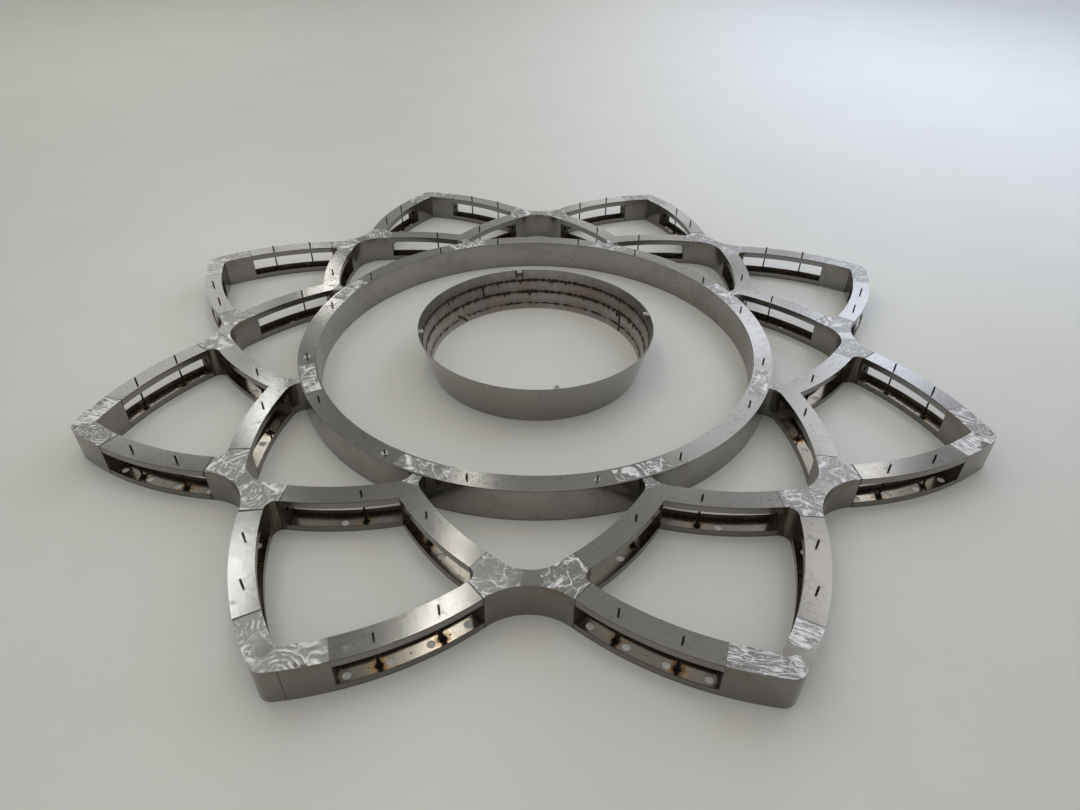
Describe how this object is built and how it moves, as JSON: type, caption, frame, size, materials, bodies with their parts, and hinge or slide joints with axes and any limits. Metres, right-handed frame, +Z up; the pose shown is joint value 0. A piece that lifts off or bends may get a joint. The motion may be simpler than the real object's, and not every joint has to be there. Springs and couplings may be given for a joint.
{
  "type": "flower-shaped chandelier frame",
  "caption": "Flat stainless steel flower frame: pointed open petals of windowed box arms round a box ring, with a loose conical drum in its middle.",
  "frame": {"origin": "centre of the ring, on the floor under its bottom plate", "axes": "+Z up out of the floor; -Y towards the picture's viewer; +X to the viewer's right, through a junction between two petals"},
  "size_m": [5.7774, 5.7774, 0.328],
  "materials": {
    "petal_sheet": "satin stainless sheet, handled and smudged",
    "ground_steel": "stainless sheet with swirls from a hand grinder on its top",
    "ring_sheet": "satin stainless sheet",
    "drum_sheet": "rolled stainless sheet, satin",
    "black_studs": "black oxide"
  },
  "bodies": {
    "flower_frame": {"ring_top_plate": "ring_sheet", "ring_bottom_plate": "ring_sheet", "ring_inner_wall": "ring_sheet", "ring_outer_wall": "ring_sheet", "ring_splice_plates": "ground_steel", "ring_studs": "black_studs", "outer_arm_studs": "black_studs", "inner_arm_studs": "black_studs", "tip_box_1": "ground_steel", "tip_box_2": "ground_steel", "tip_box_3": "ground_steel", "tip_box_4": "ground_steel", "tip_box_5": "ground_steel", "tip_box_6": "ground_steel", "tip_box_7": "ground_steel", "tip_box_8": "ground_steel", "outer_arms_1": "petal_sheet", "outer_arms_2": "petal_sheet", "outer_arms_3": "petal_sheet", "outer_arms_4": "petal_sheet", "outer_arms_5": "petal_sheet", "outer_arms_6": "petal_sheet", "outer_arms_7": "petal_sheet", "outer_arms_8": "petal_sheet", "junction_box_1": "ground_steel", "junction_box_2": "ground_steel", "junction_box_3": "ground_steel", "junction_box_4": "ground_steel", "junction_box_5": "ground_steel", "junction_box_6": "ground_steel", "junction_box_7": "ground_steel", "junction_box_8": "ground_steel", "inner_frame_1": "petal_sheet", "inner_frame_2": "petal_sheet", "inner_frame_3": "petal_sheet", "inner_frame_4": "petal_sheet", "inner_frame_5": "petal_sheet", "inner_frame_6": "petal_sheet", "inner_frame_7": "petal_sheet", "inner_frame_8": "petal_sheet", "neck_box_1": "ground_steel", "neck_box_2": "ground_steel", "neck_box_3": "ground_steel", "neck_box_4": "ground_steel", "neck_box_5": "ground_steel", "neck_box_6": "ground_steel", "neck_box_7": "ground_steel", "neck_box_8": "ground_steel"},
    "drum": {"drum_shell": "drum_sheet", "drum_lugs": "drum_sheet"}
  },
  "joints": [
    {"name": "drum_lift", "type": "slide", "parent": "flower_frame", "child": "drum", "axis": [0, 0, 1], "range_m": [0, 0.3]}
  ]
}
